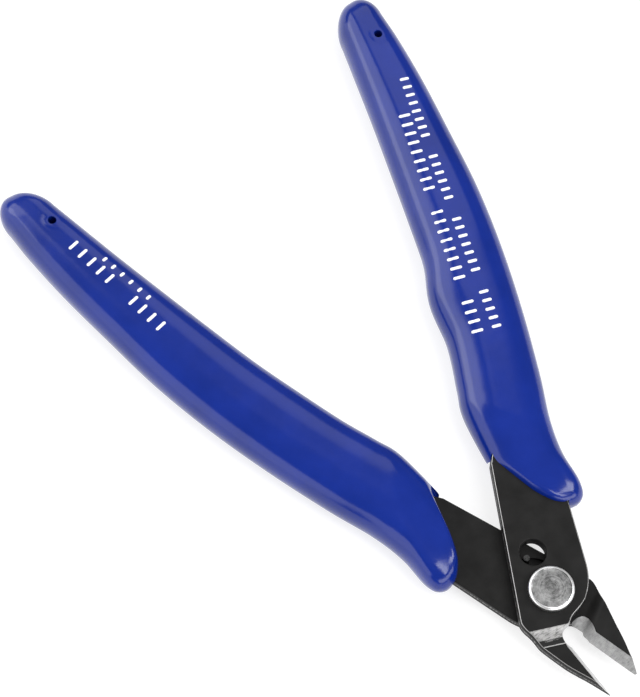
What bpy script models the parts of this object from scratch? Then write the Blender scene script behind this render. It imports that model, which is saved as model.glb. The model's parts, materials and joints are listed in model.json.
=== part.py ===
"""Flush cutter: two stamped steel halves on one rivet, with a wire return spring and moulded grips.

Every shape is drawn in the frame of one half, in millimetres, with the rivet's axis at x = y = 0 and
the plane between the two plates at z = 0. The jaws point along -Y and the handles along +Y. In that
frame a half has its grip at +X and its jaw at -X. The rear half is the same drawing turned over about
the Y axis. The cutter is drawn open, as its spring holds it.
"""
import math

import bmesh
import bpy
from mathutils import Vector

MM = 0.001

# Plates
PLATE_T = 2.2            # thickness of the stamped plates
HALF_GAP = 0.05          # half of the running gap between the two plates
RIVET_HOLE_R = 2.1
WINDOW_R = 2.13          # round window in the front plate, beside the spring's tip
WINDOW_AT = (1.41, 6.47)
HOLE_SIDES = 40
POCKET_DEPTH = 0.75      # coined recess in each mating face, which holds the spring

# Jaws
JAW_REACH = 18.1         # from the rivet's axis to the tips
CLOSING_ANGLE = 16.0     # degrees between the cutting edges when open
EDGE_OFFSET = 2.2        # from the rivet's axis to the closed cutting line
EDGE_GAP = 0.05          # left between the edges when closed
FRONT_EDGE_ANGLE = 3.0   # degrees between the front cutting edge and the Y axis
FRONT_BEVEL = 1.1        # width in plan of the ground face behind the front edge
REAR_BEVEL = 1.3
TIP_FLAT = 0.25          # width of the blunt end of a jaw
JOG_STRIPS = 5           # flat strips that make up the bend between plate and jaw

# Grips
GRIP_T = 4.4             # half thickness
GRIP_FLAT = 0.22         # share of the half width that is flat on the two faces
GRIP_POWER = 2.3         # exponent of the rounded sides
TANG_INSET = 2.2         # vinyl beside the tang
TANG_MOUTH = [(7.2, 28.6), (6.75, 26.0), (5.9, 23.5)]
SLEEVE_GAP = 0.25        # between the tang and its sleeve
SOCKET_OPEN = (0.0, 10.0)    # corner of the socket's cutter, outside the sleeve's mouth
PIN_HOLE_R = 0.72
PIN_HOLE_FRONT = (33.4, 94.6)
PIN_HOLE_BACK = (31.1, 94.8)
PIN_HOLE_SIDES = 16

# Rivet and spring
SHANK_R = 2.0
HEAD_R = 3.62
HEAD_H = 1.3
HEAD_CHAMFER = 0.38
HEAD_FOOT = 0.45         # undercut of the head at its seat
TAIL_R = 3.1
TAIL_H = 1.0
TAIL_RIM = 0.25          # straight side under the tail's dome
SEAT_GAP = 0.05          # under each head of the rivet
RIVET_SIDES = 48
WIRE_R = 0.5
BOW_R = 2.8              # radius of the spring's bend round the shank
SPRING_FREE_END = [(2.45, 3.7, 0.0), (2.75, 1.8, 0.0)]
SPRING_LONG_ARM = [(-2.5, 1.6, 0.0), (-1.65, 3.6, 0.0), (-0.55, 5.4, 0.0)]
SPRING_POST = [(-0.02, 6.02, 0.12), (0.13, 6.37, 0.75), (0.13, 6.37, 1.9)]
SPRING_STEPS = 3         # points of the wire between two of the route's

# The rivet's axis in the part's own frame, whose origin is at the middle of the base
PIVOT = Vector((0.0, -42.79, GRIP_T)) * MM

# Outline of a half from the mouth of its grip to the jaw, seen from its outer side
INNER_EDGE = [(4.5, 22.0), (-6.75, -1.1), (-7.02, -1.75), (-7.08, -2.5), (-6.95, -3.4), (-6.55, -4.9)]
OUTER_EDGE = [(-0.55, -5.82), (0.56, -5.15), (2.2, -4.72), (3.7, -4.1), (5.05, -3.05), (6.1, -1.85),
              (7.0, -0.35), (7.55, 0.95), (11.0, 9.9)]
FRONT_JAW_SIDE = [(-6.25, -6.5), (-5.8, -8.0), (-5.3, -9.5), (-4.65, -11.3), (-3.85, -13.0), (-3.0, -14.7)]
REAR_JAW_SIDE = [(-6.2, -6.7), (-5.6, -9.75), (-5.1, -12.6), (-4.5, -15.1)]

# The bend from plate to jaw: direction of its lines, and where it starts and ends along that direction
FRONT_JOG = {"angle": 21.0, "start": -5.75, "end": -8.45}
REAR_JOG = {"angle": 31.0, "start": -6.3, "end": -8.6}

# Throat behind the cutting edge: (x, y) level with the edge, then (x, y) level with the jaw's top face
FRONT_THROAT = [((-0.45, -5.9), (-0.5, -5.8)), ((-1.25, -6.05), (-1.45, -5.88)),
                ((-1.85, -6.5), (-2.2, -6.3)), ((-2.1, -7.1), (-2.6, -6.95)),
                ((-2.05, -7.8), (-2.75, -7.8))]
REAR_THROAT = [((-0.5, -5.75), (-0.7, -5.4)), ((-1.2, -5.75), (-2.0, -5.2)),
               ((-1.85, -6.3), (-3.2, -5.35)), ((-1.85, -7.2), (-3.35, -6.25)),
               ((-1.35, -8.05), (-2.9, -7.35)), ((-1.1, -8.7), (-2.5, -8.2))]
THROAT_END = {"front": -8.6, "rear": -9.5}
GRIND_RIGHT = 3.0        # the ground-away space reaches past the metal on this side,
GRIND_TOP = -6.4         # up to this level beside the throat,
GRIND_BOTTOM = -20.5     # down past the tips,
GRIND_DEPTH = 3.2        # and above and below both jaws
NECK = (0.4, -12.0)      # corner of the stamped blank beside the ground-away space
SPARE = 1.0              # metal of the blank past the cutting edge at its tip

# Recess for the spring, in the mating face of each plate
POCKET_R = 3.5
POCKET = [(POCKET_R, 0.0), (4.1, 0.9), (4.15, 3.4), (3.5, 4.7), (2.4, 5.6), (0.4, 7.2), (-0.9, 6.6),
          (-2.2, 5.6), (-3.2, 4.2), (-3.5, 2.4), (-POCKET_R, 0.0)]

# Pairs of points on the grip's inner and outer edges, from its mouth to its end
GRIP_PAIRS = [((4.7, 22.7), (10.85, 9.75)), ((5.0, 24.0), (12.7, 9.5)), ((5.25, 26.2), (14.3, 10.5)),
              ((5.55, 28.6), (14.9, 13.0)), ((6.2, 31.4), (15.45, 17.6)), ((8.05, 35.7), (17.3, 23.0)),
              ((10.65, 41.3), (20.6, 30.2)), ((13.6, 48.9), (24.9, 40.8)), ((16.6, 57.1), (28.8, 51.9)),
              ((19.4, 66.1), (31.9, 63.1)), ((22.2, 75.4), (34.0, 74.0)), ((24.8, 84.2), (35.8, 84.2)),
              ((27.2, 92.8), (36.9, 93.0)), ((28.6, 97.8), (37.25, 98.4))]
GRIP_THICKNESS = [0.74, 0.88, 0.95, 0.98]    # share of GRIP_T at the first pairs, then 1
GRIP_END = 5.7                               # from the last pair to the rounded end
GRIP_SIDES = 20
CAP_STEPS = 5


def material(name, colour, roughness, metallic):
    mat = bpy.data.materials.new(name)
    mat.use_nodes = True
    shader = mat.node_tree.nodes["Principled BSDF"]
    shader.inputs["Base Color"].default_value = (*colour, 1.0)
    shader.inputs["Roughness"].default_value = roughness
    shader.inputs["Metallic"].default_value = metallic
    return mat


def add_object(name, bm, mat=None, turned=False):
    """Link a mesh drawn in a half's frame; turned puts it on the rear half."""
    bmesh.ops.scale(bm, vec=(MM, MM, MM), verts=bm.verts)
    bmesh.ops.recalc_face_normals(bm, faces=bm.faces)
    mesh = bpy.data.meshes.new(name)
    bm.to_mesh(mesh)
    bm.free()
    obj = bpy.data.objects.new(name, mesh)
    obj.location = PIVOT
    if turned:
        obj.rotation_euler = (0.0, math.pi, 0.0)
    if mat:
        mesh.materials.append(mat)
    bpy.context.collection.objects.link(obj)
    return obj


def cut(obj, cutter):
    """Take the cutter's volume out of obj, and hide the cutter."""
    cutter.hide_render = True
    cutter.display_type = "WIRE"
    mod = obj.modifiers.new("cut_" + cutter.name, "BOOLEAN")
    mod.operation = "DIFFERENCE"
    mod.solver = "EXACT"
    mod.object = cutter


def arc(centre, radius, start, end, steps):
    """Points on a circle, from one angle in degrees to another."""
    points = []
    for i in range(steps + 1):
        a = math.radians(start + (end - start) * i / steps)
        points.append((centre[0] + radius * math.cos(a), centre[1] + radius * math.sin(a)))
    return points


def prism(outline, z_low, z_high):
    """Solid between two levels with one outline."""
    return loft(outline, z_low, outline, z_high)


def loft(low, z_low, high, z_high):
    """Solid between two outlines with matching points, one at each level."""
    bm = bmesh.new()
    lows = [bm.verts.new((x, y, z_low)) for x, y in low]
    highs = [bm.verts.new((x, y, z_high)) for x, y in high]
    bm.faces.new(reversed(lows))
    bm.faces.new(highs)
    for i in range(len(lows)):
        j = (i + 1) % len(lows)
        bm.faces.new((lows[i], lows[j], highs[j], highs[i]))
    return bm


def cylinder(centre, radius, z_low, z_high, sides=HOLE_SIDES):
    return prism(arc(centre, radius, 0.0, 360.0 * (sides - 1) / sides, sides - 1), z_low, z_high)


def spline(points, u):
    """Smooth curve through points, read at u counted in points."""
    last = len(points) - 1
    i = min(int(u), last - 1)
    t = u - i
    p1, p2 = Vector(points[i]), Vector(points[i + 1])
    p0 = Vector(points[i - 1]) if i else p1 * 2 - p2
    p3 = Vector(points[i + 2]) if i + 2 <= last else p2 * 2 - p1
    return (p1 * 2 + (p2 - p0) * t + (p0 * 2 - p1 * 5 + p2 * 4 - p3) * t * t
            + (p1 * 3 - p0 - p2 * 3 + p3) * t ** 3) / 2


# ---------------------------------------------------------------- cutting edges

def edge_line(side):
    """A point at y = 0 on the cutting edge's line, its direction to the tip, and the way into the jaw."""
    angle = math.radians(FRONT_EDGE_ANGLE if side == "front" else -(FRONT_EDGE_ANGLE + CLOSING_ANGLE))
    direction = Vector((math.sin(angle), -math.cos(angle)))
    inward = Vector((-math.cos(angle), -math.sin(angle)))
    if side == "front":
        offset = EDGE_OFFSET + EDGE_GAP / 2
    else:
        offset = EDGE_GAP / 2 - EDGE_OFFSET
    foot = inward * offset
    return foot - direction * (foot.y / direction.y), direction, inward


def on_edge(side, y):
    start, direction, _ = edge_line(side)
    return start + direction * (y / direction.y)


def jaw_tip(side):
    """Where the cutting edge's line reaches the tips' radius."""
    start, direction, _ = edge_line(side)
    along = start.dot(direction)
    return start + direction * (math.sqrt(along ** 2 + JAW_REACH ** 2 - start.length_squared) - along)


# ---------------------------------------------------------------- blades

def tang_outline():
    """The tang inside the grip: its outer edge going up, a round end, and its inner edge coming down."""
    outer, inner = [], []
    for k in range(4, len(GRIP_PAIRS) - 1):
        a, b = Vector(GRIP_PAIRS[k][0]), Vector(GRIP_PAIRS[k][1])
        across = (b - a).normalized()
        outer.append(tuple(b - across * TANG_INSET))
        inner.append(tuple(a + across * TANG_INSET))
    a, b = Vector(inner[-1]), Vector(outer[-1])
    up = Vector((b.y - a.y, a.x - b.x)).normalized() * -1
    centre, radius = (a + b) / 2, (b - a).length / 2
    end = []
    for i in range(1, 6):
        turn = math.pi * i / 6
        end.append(tuple(centre + (b - centre) * math.cos(turn) + up * radius * math.sin(turn)))
    return outer + end + inner[::-1] + TANG_MOUTH


def jog_drop(point, jog):
    """How far the bend has lowered the plate at a point; it changes evenly across each strip."""
    angle = math.radians(jog["angle"])
    along = point.x * math.sin(angle) + point.y * math.cos(angle)
    share = (jog["start"] - along) / (jog["start"] - jog["end"]) * JOG_STRIPS
    share = max(0.0, min(JOG_STRIPS, share))
    low = min(int(share), JOG_STRIPS - 1)

    def ease(step):
        t = step / JOG_STRIPS
        return t * t * (3 - 2 * t)

    return (PLATE_T / 2 + HALF_GAP) * (ease(low) + (ease(low + 1) - ease(low)) * (share - low))


def blank(side, jog, jaw_side):
    """The stamped plate, cut out and bent, before its jaw is ground."""
    tip = jaw_tip(side)
    blunt = [(tip.x - TIP_FLAT, tip.y), (tip.x + SPARE, tip.y), NECK]
    outline = INNER_EDGE + jaw_side + blunt + OUTER_EDGE + tang_outline()
    bm = prism(outline, HALF_GAP, HALF_GAP + PLATE_T)
    angle = math.radians(jog["angle"])
    normal = Vector((math.sin(angle), math.cos(angle), 0.0))
    for i in range(JOG_STRIPS + 1):
        along = jog["start"] + (jog["end"] - jog["start"]) * i / JOG_STRIPS
        geom = bm.verts[:] + bm.edges[:] + bm.faces[:]
        bmesh.ops.bisect_plane(bm, geom=geom, plane_co=normal * along, plane_no=normal, dist=1e-5)
    for v in bm.verts:
        if v.co.y < 0.0:
            v.co.z -= jog_drop(v.co, jog)
    return bm


def throat_void(side, throat, bevel):
    """Everything ground away between the jaws, with a sloping wall that ends in the cutting edge."""
    _, _, inward = edge_line(side)
    corner, end = (GRIND_RIGHT, GRIND_TOP), (GRIND_RIGHT, GRIND_BOTTOM)
    pairs = [(corner, corner)] + throat
    for y in (THROAT_END[side], GRIND_BOTTOM):
        edge = on_edge(side, y)
        pairs.append((tuple(edge), tuple(edge + inward * bevel)))
    pairs.append((end, end))
    edge_z = -PLATE_T / 2 if side == "front" else PLATE_T / 2
    top_z = -edge_z
    levels = []
    for z in (-GRIND_DEPTH, GRIND_DEPTH):
        share = (z - edge_z) / (top_z - edge_z)
        levels.append([tuple(Vector(e).lerp(Vector(t), share)) for e, t in pairs])
    return loft(levels[0], -GRIND_DEPTH, levels[1], GRIND_DEPTH)


def blade(side, jog, jaw_side, throat, bevel, steel):
    turned = side == "rear"
    obj = add_object(side + "_blade", blank(side, jog, jaw_side), steel, turned)
    below, above = HALF_GAP - 1.0, HALF_GAP + PLATE_T + 1.0
    pocket = POCKET + arc((0.0, 0.0), POCKET_R, 180.0, 360.0, 14)[1:-1]
    cutters = {"throat": throat_void(side, throat, bevel),
               "rivet_hole": cylinder((0.0, 0.0), RIVET_HOLE_R, below, above),
               "pocket": prism(pocket, below, HALF_GAP + POCKET_DEPTH)}
    if side == "front":
        cutters["window"] = cylinder(WINDOW_AT, WINDOW_R, below, above)
    for name, bm in cutters.items():
        cut(obj, add_object(side + "_" + name, bm, turned=turned))
    return obj


# ---------------------------------------------------------------- grips

def grip_section(a, b, half_t, bm):
    """One ring of the sleeve between points a and b of its inner and outer edges."""
    centre, across = (a + b) / 2, (b - a) / 2
    ring = []
    for i in range(GRIP_SIDES):
        turn = 2 * math.pi * (i + 0.5) / GRIP_SIDES
        c, s = math.cos(turn), math.sin(turn)
        side = (1 - GRIP_FLAT) * abs(c) ** (2 / GRIP_POWER) + GRIP_FLAT
        flat_turn = math.pi / GRIP_SIDES
        level = min(1.0, abs(s) / math.cos(flat_turn)) ** (2 / GRIP_POWER)
        if abs(c) < math.sin(flat_turn) + 1e-6:
            side = GRIP_FLAT
        p = centre + across * math.copysign(side, c)
        ring.append(bm.verts.new((p.x, p.y, math.copysign(half_t * level, s))))
    return ring


def grip_body():
    """The sleeve's outer shape, closed at both ends."""
    bm = bmesh.new()
    inner = [p for p, _ in GRIP_PAIRS]
    outer = [q for _, q in GRIP_PAIRS]
    shares = GRIP_THICKNESS + [1.0] * (len(GRIP_PAIRS) - len(GRIP_THICKNESS))
    last = len(GRIP_PAIRS) - 1
    stations = [i / 2 for i in range(9)] + list(range(5, last + 1))
    rings = []
    for u in stations:
        low = min(int(u), last - 1)
        share = shares[low] + (shares[low + 1] - shares[low]) * (u - low)
        rings.append(grip_section(spline(inner, u), spline(outer, u), GRIP_T * share, bm))
    a, b = Vector(inner[-1]), Vector(outer[-1])
    centre, across = (a + b) / 2, (b - a) / 2
    along = (centre - (Vector(inner[-2]) + Vector(outer[-2])) / 2).normalized()
    for i in range(1, CAP_STEPS):
        turn = math.pi / 2 * i / CAP_STEPS
        c = centre + along * GRIP_END * math.sin(turn)
        rings.append(grip_section(c - across * math.cos(turn), c + across * math.cos(turn),
                                  GRIP_T * math.cos(turn), bm))
    pole = centre + along * GRIP_END
    tip = bm.verts.new((pole.x, pole.y, 0.0))
    for lower, upper in zip(rings, rings[1:]):
        for i in range(GRIP_SIDES):
            j = (i + 1) % GRIP_SIDES
            bm.faces.new((lower[i], lower[j], upper[j], upper[i]))
    for i in range(GRIP_SIDES):
        bm.faces.new((rings[-1][i], rings[-1][(i + 1) % GRIP_SIDES], tip))
    bm.faces.new(rings[0][::-1])
    return bm


def offset_outline(points, distance):
    """An outline moved outwards by a distance; points run clockwise or anticlockwise."""
    vectors = [Vector(p) for p in points]
    area = sum(p.x * q.y - q.x * p.y for p, q in zip(vectors, vectors[1:] + vectors[:1]))
    turn = 1 if area > 0 else -1
    moved = []
    for i, p in enumerate(vectors):
        before = (p - vectors[i - 1]).normalized()
        after = (vectors[(i + 1) % len(vectors)] - p).normalized()
        mean = (before + after).normalized()
        out = Vector((mean.y, -mean.x)) * turn
        moved.append(tuple(p + out * distance / max(0.5, mean.dot(before))))
    return moved


def grip(side, vinyl):
    turned = side == "rear"
    obj = add_object(side + "_grip", grip_body(), vinyl, turned)
    bare_end = [INNER_EDGE[0], SOCKET_OPEN, OUTER_EDGE[-2], OUTER_EDGE[-1]]
    socket = offset_outline(bare_end + tang_outline(), SLEEVE_GAP)
    low, high = HALF_GAP - SLEEVE_GAP, HALF_GAP + PLATE_T + SLEEVE_GAP
    cut(obj, add_object(side + "_socket", prism(socket, low, high), turned=turned))
    middle = HALF_GAP + PLATE_T / 2
    holes = (("face_hole", PIN_HOLE_FRONT, 2 * GRIP_T), ("back_hole", PIN_HOLE_BACK, -2 * GRIP_T))
    for name, at, end in holes:
        hole = cylinder(at, PIN_HOLE_R, min(middle, end), max(middle, end), PIN_HOLE_SIDES)
        cut(obj, add_object(side + "_" + name, hole, turned=turned))
    return obj


# ---------------------------------------------------------------- rivet and spring

def lathe(profile, sides):
    """Solid turned about Z from (radius, z) pairs that start and end on the axis."""
    bm = bmesh.new()
    rings = []
    for radius, z in profile:
        ring = arc((0.0, 0.0), radius, 0.0, 360.0 * (sides - 1) / sides, sides - 1)
        rings.append([bm.verts.new((x, y, z)) for x, y in (ring if radius else ring[:1])])
    for lower, upper in zip(rings, rings[1:]):
        for i in range(sides):
            j = (i + 1) % sides
            if len(lower) == 1:
                bm.faces.new((lower[0], upper[j], upper[i]))
            elif len(upper) == 1:
                bm.faces.new((lower[i], lower[j], upper[0]))
            else:
                bm.faces.new((lower[i], lower[j], upper[j], upper[i]))
    return bm


def rivet(steel):
    seat = HALF_GAP + PLATE_T + SEAT_GAP
    tail = [(0.0, -seat - TAIL_H)]
    for i in range(1, 5):
        turn = math.pi / 2 * i / 4
        tail.append((TAIL_R * math.sin(turn), -seat - TAIL_RIM - (TAIL_H - TAIL_RIM) * math.cos(turn)))
    head = [(HEAD_R - HEAD_FOOT, seat), (HEAD_R, seat + HEAD_FOOT), (HEAD_R, seat + HEAD_H - HEAD_CHAMFER),
            (HEAD_R - HEAD_CHAMFER, seat + HEAD_H)]
    profile = tail + [(TAIL_R, -seat), (SHANK_R, -seat), (SHANK_R, seat)] + head + [(0.0, seat + HEAD_H)]
    return add_object("pivot_rivet", lathe(profile, RIVET_SIDES), steel)


def spring(steel):
    """A hairpin of wire round the shank; one tip stands up in the front plate's window."""
    bow = [(x, y, 0.0) for x, y in arc((0.0, 0.0), BOW_R, 0.0, -180.0, 12)]
    route = SPRING_FREE_END + bow + SPRING_LONG_ARM + SPRING_POST
    curve = bpy.data.curves.new("return_spring", "CURVE")
    curve.dimensions = "3D"
    curve.bevel_depth = WIRE_R * MM
    curve.bevel_resolution = 3
    curve.use_fill_caps = True
    points = [spline(route, i / SPRING_STEPS) for i in range((len(route) - 1) * SPRING_STEPS + 1)]
    line = curve.splines.new("POLY")
    line.points.add(len(points) - 1)
    for point, co in zip(line.points, points):
        point.co = (*(co * MM), 1.0)
    curve.materials.append(steel)
    obj = bpy.data.objects.new("return_spring", curve)
    obj.location = PIVOT
    bpy.context.collection.objects.link(obj)
    return obj


def smooth_round_faces(obj, angle=30.0):
    obj.data.shade_smooth()
    obj.data.set_sharp_from_angle(angle=math.radians(angle))


def build():
    for obj in list(bpy.data.objects):
        bpy.data.objects.remove(obj, do_unlink=True)
    black = material("black_oxide_steel", (0.028, 0.028, 0.03), 0.42, 0.6)
    bright = material("bright_steel", (0.55, 0.55, 0.56), 0.3, 1.0)
    wire = material("spring_wire", (0.3, 0.3, 0.31), 0.35, 1.0)
    vinyl = material("blue_vinyl", (0.012, 0.03, 0.27), 0.22, 0.0)
    blade("front", FRONT_JOG, FRONT_JAW_SIDE, FRONT_THROAT, FRONT_BEVEL, black)
    blade("rear", REAR_JOG, REAR_JAW_SIDE, REAR_THROAT, REAR_BEVEL, black)
    for side in ("front", "rear"):
        smooth_round_faces(grip(side, vinyl))
    smooth_round_faces(rivet(bright))
    spring(wire)


build()
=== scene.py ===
import json
import math

import bmesh
import bpy
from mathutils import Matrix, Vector
from mathutils.bvhtree import BVHTree


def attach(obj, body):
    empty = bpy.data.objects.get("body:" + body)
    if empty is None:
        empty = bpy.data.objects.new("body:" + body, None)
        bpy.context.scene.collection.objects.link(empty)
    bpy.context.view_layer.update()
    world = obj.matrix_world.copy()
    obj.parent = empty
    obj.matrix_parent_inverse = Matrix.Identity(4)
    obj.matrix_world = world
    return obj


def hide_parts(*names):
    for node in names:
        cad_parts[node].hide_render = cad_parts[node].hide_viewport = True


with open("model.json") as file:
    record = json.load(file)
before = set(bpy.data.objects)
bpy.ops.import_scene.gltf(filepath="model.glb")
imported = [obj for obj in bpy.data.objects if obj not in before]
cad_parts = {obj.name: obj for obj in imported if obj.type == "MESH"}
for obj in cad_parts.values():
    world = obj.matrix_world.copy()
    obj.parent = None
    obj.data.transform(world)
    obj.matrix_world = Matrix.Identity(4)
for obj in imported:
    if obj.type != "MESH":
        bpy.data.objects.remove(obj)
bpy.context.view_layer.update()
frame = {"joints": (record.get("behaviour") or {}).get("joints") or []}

MM = 0.001
PIVOT = Vector(frame["joints"][0]["pos_m"])
BODY = {"front": "front_half", "rear": "rear_half"}
TURN_OVER = {"front": 0.0, "rear": math.pi}

# Plates
PLATE_T = 2.2            # thickness of the stamped plates
HALF_GAP = 0.05          # half of the running gap between the two plates
PLATE_ROLL = 0.3         # rounding of the stamped edge on the outer face
PLATE_BREAK = 0.1        # broken edge on the mating face
RIVET_HOLE_R = 2.1
WINDOW_R = 2.13          # round window in the front plate, beside the spring's tip
WINDOW_AT = (1.41, 6.47)
WINDOW_LIP = 0.25        # rounding of the window's rim
POCKET_DEPTH = 0.75      # coined recess in each mating face, which holds the spring
HOLE_SIDES = 64
POCKET_STEPS = 32        # points on the round side of the recess
CURVE_STEPS = 5          # steps between two given points of a smooth outline
ROLL_STEPS = 4           # strips of a rounded edge
CUTTER_SPARE = 1.0       # how far a cutter reaches past the plate
FACES_UP = 0.9           # least Z of an upper face's normal

# Jaws
JAW_REACH = 18.1         # from the rivet's axis to the tips
CLOSING_ANGLE = 16.0     # degrees between the cutting edges when open
EDGE_OFFSET = 2.2        # from the rivet's axis to the closed cutting line
EDGE_GAP = 0.05          # left between the edges when closed
FRONT_EDGE_ANGLE = 3.0   # degrees between the front cutting edge and the Y axis
BEVEL = {"front": 1.1, "rear": 1.3}      # width in plan of the ground face behind each edge
TIP_FLAT = 0.25          # width of the blunt end of a jaw
JOG_STRIPS = 18          # flat strips that make up the bend between plate and jaw
GRIND_RIGHT = 3.0        # the ground-away space reaches past the metal on this side,
GRIND_TOP = -6.4         # up to this level beside the throat,
GRIND_BOTTOM = -20.5     # down past the tips,
GRIND_DEPTH = 3.2        # and above and below both jaws
NECK = (0.4, -12.0)      # corner of the stamped blank beside the ground-away space
SPARE = 1.0              # metal of the blank past the cutting edge at its tip

INNER_TOP = (4.5, 22.0)
INNER_CURVE = [(-6.75, -1.1), (-7.02, -1.75), (-7.08, -2.5), (-6.95, -3.4), (-6.55, -4.9)]
OUTER_CURVE = [(-0.55, -5.82), (0.56, -5.15), (2.2, -4.72), (3.7, -4.1), (5.05, -3.05), (6.1, -1.85),
               (7.0, -0.35), (7.55, 0.95)]
OUTER_TOP = (11.0, 9.9)
JAW_SIDE = {"front": [(-6.25, -6.5), (-5.8, -8.0), (-5.3, -9.5), (-4.65, -11.3), (-3.85, -13.0),
                      (-3.0, -14.7)],
            "rear": [(-6.2, -6.7), (-5.6, -9.75), (-5.1, -12.6), (-4.5, -15.1)]}

# The bend from plate to jaw: direction of its lines, where it starts and ends along that direction, and
# the shares of it that are worn bare steel, which also paint the light band and light lines of the bend:
# painted highlights
# the worn, rubbed and bright finishes are bare steel that stands for wear and for painted highlights on the
# wall, the roll and the bend
BLACK, WORN_AND_HIGHLIT, RUBBED_AND_HIGHLIT, BRIGHT_HIGHLIGHT, SHEARED = range(5)     # a blade's finishes, as material numbers
WALL_SHEEN_BAND = (0.75, 1.25)    # band of the sheared wall that is worn bare steel and a painted highlight, above the mating face
# the bright strip of the roll is wear and a painted highlight along the edge
ROLL_FINISH = (SHEARED, BLACK, BRIGHT_HIGHLIGHT, BLACK, BLACK)    # strips of the rolled edge, then the outer face
JOG = {"front": {"angle": 21.0, "start": -5.75, "end": -8.45,
                 "wear_and_highlight": {RUBBED_AND_HIGHLIT: (0.0, 0.62), WORN_AND_HIGHLIT: (0.62, 0.7), BRIGHT_HIGHLIGHT: (0.94, 1.0)}},
       "rear": {"angle": 31.0, "start": -6.3, "end": -8.6, "wear_and_highlight": {WORN_AND_HIGHLIT: (0.0, 0.07)}}}

# Throat behind the cutting edge: (x, y) level with the edge, then (x, y) level with the jaw's top face
THROAT = {"front": [((-0.45, -5.9), (-0.5, -5.8)), ((-1.25, -6.05), (-1.45, -5.88)),
                    ((-1.85, -6.5), (-2.2, -6.3)), ((-2.1, -7.1), (-2.6, -6.95)),
                    ((-2.05, -7.8), (-2.75, -7.8))],
          "rear": [((-0.5, -5.75), (-0.7, -5.4)), ((-1.2, -5.75), (-2.0, -5.2)),
                   ((-1.85, -6.3), (-3.2, -5.35)), ((-1.85, -7.2), (-3.35, -6.25)),
                   ((-1.35, -8.05), (-2.9, -7.35)), ((-1.1, -8.7), (-2.5, -8.2))]}
THROAT_END = {"front": -8.6, "rear": -9.5}

# Recess for the spring, in the mating face of each plate
POCKET_R = 3.5
POCKET = [(POCKET_R, 0.0), (4.1, 0.9), (4.15, 3.4), (3.5, 4.7), (2.4, 5.6), (0.4, 7.2), (-0.9, 6.6),
          (-2.2, 5.6), (-3.2, 4.2), (-3.5, 2.4), (-POCKET_R, 0.0)]

# Grips
GRIP_T = 4.4             # half thickness
GRIP_FLAT = 0.22         # share of the half width that is flat on the two faces
GRIP_POWER = 2.3         # exponent of the rounded sides
SLEEVE_FRONT = [(4.7, 22.8), (5.7, 20.9), (6.65, 17.6), (7.45, 14.9), (8.25, 13.1), (9.3, 11.4), (10.7, 10.0),
                (12.6, 9.4), (14.1, 9.95), (14.85, 11.3), (15.15, 12.8)]    # mouth's rim, then round the horn
GRIP_PAIRS = [((6.2, 31.4), (15.6, 17.4)), ((8.05, 35.7), (17.3, 23.0)), ((10.65, 41.3), (20.6, 30.2)),
              ((13.6, 48.9), (24.9, 40.8)), ((16.6, 57.1), (28.8, 51.9)), ((19.4, 66.1), (31.9, 63.1)),
              ((22.2, 75.4), (34.0, 74.0)), ((24.8, 84.2), (35.8, 84.2)), ((27.2, 92.8), (36.9, 93.0)),
              ((28.6, 97.8), (37.25, 98.4))]
MOUTH_T = 0.8            # share of the half thickness at the front, which grows over the first pairs
MOUTH_GROWTH = 1.4
GRIP_END = 5.7           # from the last pair to the rounded end
ROUND_STEPS = 16         # points on each rounded quarter of a section, and on its flat
FLAT_STEPS = 8
FRONT_STEPS = 16         # rings between the sleeve's front and the first pair
GRIP_STEPS = 11          # rings between two pairs
CAP_STEPS = 18
LIP = {1: {"foot": 2.1, "round": 1.6},       # the mouth's edge on the outer side
       -1: {"foot": 0.4, "round": 2.0}}      # and on the mating side
MATING_SETBACK = 0.2     # how much further back the mouth is on the mating side, counted in pairs
MATING_FADE = 3.0        # how fast that comes in below the middle of the section
HORN_ROUND = 4.0         # rounding of the horn, which has no foot
HORN_CORNER = (9.5, 16.5)    # the horn's skin lies past this x and below this y
HORN_SMOOTHING = 14      # passes that even out its height
HORN_FROM = 5.2          # where along SLEEVE_FRONT the lip turns into the horn, counted in points
HORN_TO = 7.5
FRONT_SWELL = {"at": 50.0, "reach": 8.0, "height": 1.0}    # finger swell on the front grip's inner edge
TANG_INSET = 2.2         # vinyl beside the tang
TANG_MOUTH = [(7.2, 28.6), (6.75, 26.0), (5.9, 23.5)]
TANG_END_STEPS = 12      # strips round the tang's end
SLEEVE_GAP = 0.06        # between the steel and its sleeve at the mouth
SOCKET_OPEN = (0.0, 10.0)    # corner of the socket's cutter, outside the sleeve's mouth
PIN_HOLE_R = 0.7
PIN_HOLE_SIDES = 32
PIN_HOLE = {1: (33.4, 94.6), -1: (31.1, 94.8)}    # on the face at +Z and on the face at -Z
PIN_RING_R = 1.15
PIN_RING_WIDTH = 0.22
PIN_RING_HEIGHT = 0.09

# Rivet and spring
SHANK_R = 2.0
HEAD_R = 3.62
HEAD_H = 1.3
HEAD_FOOT = 0.45         # undercut of the head at its seat
HEAD_EDGE = 0.42         # rounding of the head's rim
HEAD_GROOVE_R = 3.12     # bottom of the groove inside the rim
HEAD_GROOVE = [(0.07, -0.02), (0.0, -0.13), (-0.1, 0.0)]     # past that radius, and above the head's top
HEAD_CROWN = [(2.0, 0.015), (1.0, 0.03), (0.0, 0.035)]       # radius, and height above the head's top
TAIL_R = 3.1
TAIL_H = 1.0
SEAT_GAP = 0.05
RIVET_SIDES = 128
TAIL_STEPS = 12
FOOT_STEPS = 5
EDGE_STEPS = 6
WIRE_R = 0.5
BOW_R = 2.8              # radius of the spring's bend round the shank
SPRING_FREE_END = [(2.45, 3.7, 0.0), (2.75, 1.8, 0.0)]
SPRING_LONG_ARM = [(-2.5, 1.6, 0.0), (-1.65, 3.6, 0.0), (-0.55, 5.4, 0.0)]
SPRING_POST = [(-0.02, 6.02, 0.12), (0.13, 6.37, 0.75), (0.13, 6.37, 1.75)]
BOW_STEPS = 12
SPRING_STEPS = 8         # steps between two given points of the wire's route

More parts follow.
